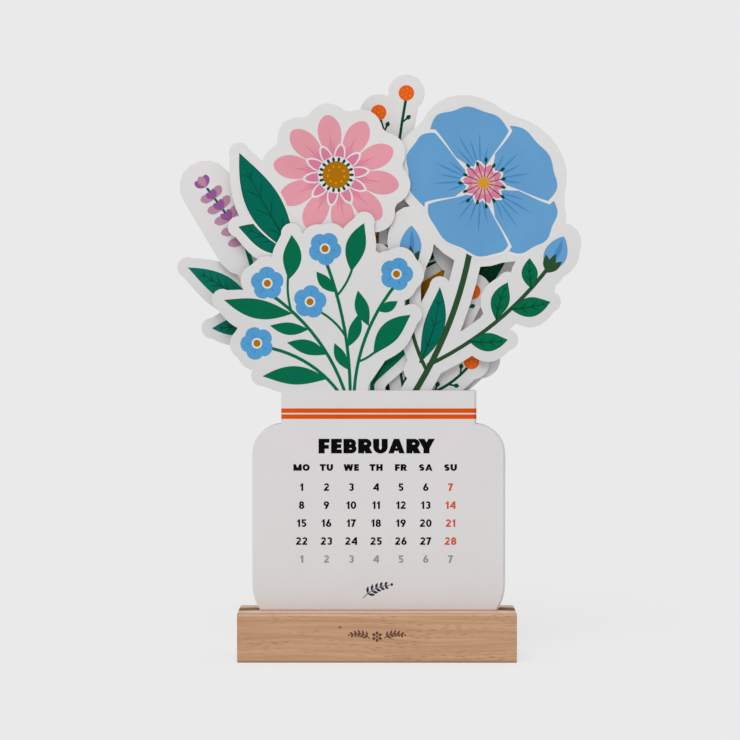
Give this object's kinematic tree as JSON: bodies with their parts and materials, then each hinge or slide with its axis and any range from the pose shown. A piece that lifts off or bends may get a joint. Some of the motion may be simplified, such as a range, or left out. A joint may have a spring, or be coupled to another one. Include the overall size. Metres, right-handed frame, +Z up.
{
  "type": "desk calendar",
  "caption": "Desk calendar: a grooved wooden block holding a stack of die-cut month cards, each a jar with dates and flowers standing out of its neck.",
  "frame": {"origin": "middle of the wooden block's underside, on the surface it stands on", "axes": "+Z up; the printed side of the cards faces -Y; +X is to the right when the calendar is read"},
  "size_m": [0.1759, 0.03, 0.2542],
  "materials": {
    "beech": "bare sanded beech",
    "card_stock": "uncoated matt board, printed on the front"
  },
  "bodies": {
    "stand": {"base_block": "beech"},
    "february": {"card_february": "card_stock"},
    "march": {"card_march": "card_stock"},
    "april": {"card_april": "card_stock"},
    "may": {"card_may": "card_stock"},
    "june": {"card_june": "card_stock"},
    "july": {"card_july": "card_stock"},
    "august": {"card_august": "card_stock"},
    "september": {"card_september": "card_stock"},
    "october": {"card_october": "card_stock"},
    "november": {"card_november": "card_stock"},
    "december": {"card_december": "card_stock"},
    "january": {"card_january": "card_stock"}
  },
  "joints": [
    {"name": "february_lift", "type": "slide", "parent": "stand", "child": "february", "axis": [0, 0.007, 1], "range_m": [0, 0.04]},
    {"name": "march_lift", "type": "slide", "parent": "stand", "child": "march", "axis": [0, 0.0105, 0.9999], "range_m": [0, 0.04]},
    {"name": "april_lift", "type": "slide", "parent": "stand", "child": "april", "axis": [0, 0.014, 0.9999], "range_m": [0, 0.04]},
    {"name": "may_lift", "type": "slide", "parent": "stand", "child": "may", "axis": [0, 0.0175, 0.9998], "range_m": [0, 0.04]},
    {"name": "june_lift", "type": "slide", "parent": "stand", "child": "june", "axis": [0, 0.0209, 0.9998], "range_m": [0, 0.04]},
    {"name": "july_lift", "type": "slide", "parent": "stand", "child": "july", "axis": [0, 0.0244, 0.9997], "range_m": [0, 0.04]},
    {"name": "august_lift", "type": "slide", "parent": "stand", "child": "august", "axis": [0, 0.0279, 0.9996], "range_m": [0, 0.04]},
    {"name": "september_lift", "type": "slide", "parent": "stand", "child": "september", "axis": [0, 0.0314, 0.9995], "range_m": [0, 0.04]},
    {"name": "october_lift", "type": "slide", "parent": "stand", "child": "october", "axis": [0, 0.0349, 0.9994], "range_m": [0, 0.04]},
    {"name": "november_lift", "type": "slide", "parent": "stand", "child": "november", "axis": [0, 0.0384, 0.9993], "range_m": [0, 0.04]},
    {"name": "december_lift", "type": "slide", "parent": "stand", "child": "december", "axis": [0, 0.0419, 0.9991], "range_m": [0, 0.04]},
    {"name": "january_lift", "type": "slide", "parent": "stand", "child": "january", "axis": [0, 0.0454, 0.999], "range_m": [0, 0.04]}
  ]
}
